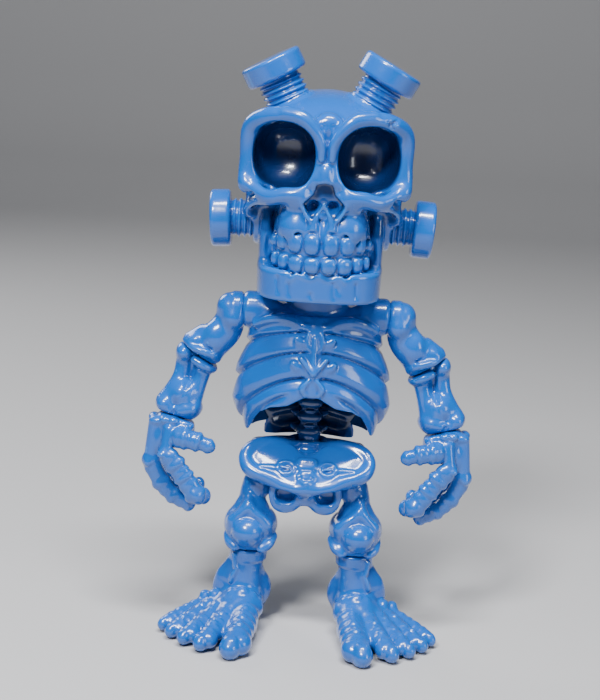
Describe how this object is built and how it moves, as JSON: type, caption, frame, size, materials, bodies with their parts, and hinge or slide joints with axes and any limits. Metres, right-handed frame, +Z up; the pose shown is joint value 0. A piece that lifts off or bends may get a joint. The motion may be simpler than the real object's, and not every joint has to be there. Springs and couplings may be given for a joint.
{
  "type": "skeleton figurine",
  "caption": "Standing skeleton figurine in glossy soft vinyl, with bolts in its skull, an open rib cage, and turning head, waist and limbs.",
  "frame": {"origin": "centre of the footprint of the whole figure, at the soles' level", "axes": "+Z up, the figure faces -Y, +X to the figure's left"},
  "size_m": [0.1284, 0.0789, 0.2303],
  "materials": {
    "blue_vinyl": "glossy soft vinyl"
  },
  "bodies": {
    "pelvis": {"pelvis": "blue_vinyl"},
    "torso": {"rib_cage_front": "blue_vinyl", "rib_cage_back": "blue_vinyl", "spine": "blue_vinyl"},
    "head": {"skull": "blue_vinyl", "bolt_top_right": "blue_vinyl", "bolt_top_left": "blue_vinyl", "bolt_side_right": "blue_vinyl", "bolt_side_left": "blue_vinyl"},
    "upper_arm_right": {"upper_arm_right": "blue_vinyl"},
    "upper_arm_left": {"upper_arm_left": "blue_vinyl"},
    "forearm_right": {"forearm_right": "blue_vinyl"},
    "forearm_left": {"forearm_left": "blue_vinyl"},
    "hand_right": {"hand_right": "blue_vinyl"},
    "hand_left": {"hand_left": "blue_vinyl"},
    "thigh_right": {"thigh_right": "blue_vinyl"},
    "thigh_left": {"thigh_left": "blue_vinyl"},
    "lower_leg_right": {"lower_leg_right": "blue_vinyl"},
    "lower_leg_left": {"lower_leg_left": "blue_vinyl"}
  },
  "joints": [
    {"name": "neck_turn", "type": "hinge", "parent": "torso", "child": "head", "pos_m": [0, 0.0066, 0.141], "axis": [0, 0, 1], "continuous": true},
    {"name": "waist_turn", "type": "hinge", "parent": "pelvis", "child": "torso", "pos_m": [0, 0.0151, 0.075], "axis": [0, 0, 1], "range_deg": [-15, 15]},
    {"name": "shoulder_right", "type": "hinge", "parent": "torso", "child": "upper_arm_right", "pos_m": [-0.027, 0.0046, 0.129], "axis": [1, 0, 0], "range_deg": [-60, 60]},
    {"name": "elbow_right", "type": "hinge", "parent": "upper_arm_right", "child": "forearm_right", "pos_m": [-0.0448, 0.0066, 0.1098], "axis": [-0.5446, 0, -0.8387], "range_deg": [-60, 60]},
    {"name": "wrist_right", "type": "hinge", "parent": "forearm_right", "child": "hand_right", "pos_m": [-0.0522, 0.0026, 0.0852], "axis": [-0.2826, -0.0995, -0.9541], "range_deg": [-60, 60]},
    {"name": "hip_right", "type": "hinge", "parent": "pelvis", "child": "thigh_right", "pos_m": [-0.0135, 0.0086, 0.058], "axis": [1, 0, 0], "range_deg": [-30, 30]},
    {"name": "knee_turn_right", "type": "hinge", "parent": "thigh_right", "child": "lower_leg_right", "pos_m": [-0.0208, 0.0066, 0.032], "axis": [0, 0, -1], "range_deg": [-20, 30]},
    {"name": "shoulder_left", "type": "hinge", "parent": "torso", "child": "upper_arm_left", "pos_m": [0.027, 0.0046, 0.129], "axis": [1, 0, 0], "range_deg": [-60, 60]},
    {"name": "elbow_left", "type": "hinge", "parent": "upper_arm_left", "child": "forearm_left", "pos_m": [0.0448, 0.0066, 0.1098], "axis": [0.5446, 0, -0.8387], "range_deg": [-60, 60]},
    {"name": "wrist_left", "type": "hinge", "parent": "forearm_left", "child": "hand_left", "pos_m": [0.0522, 0.0026, 0.0852], "axis": [0.2826, -0.0995, -0.9541], "range_deg": [-60, 60]},
    {"name": "hip_left", "type": "hinge", "parent": "pelvis", "child": "thigh_left", "pos_m": [0.0135, 0.0086, 0.058], "axis": [1, 0, 0], "range_deg": [-30, 30]},
    {"name": "knee_turn_left", "type": "hinge", "parent": "thigh_left", "child": "lower_leg_left", "pos_m": [0.0208, 0.0066, 0.032], "axis": [0, 0, 1], "range_deg": [-20, 30]}
  ]
}
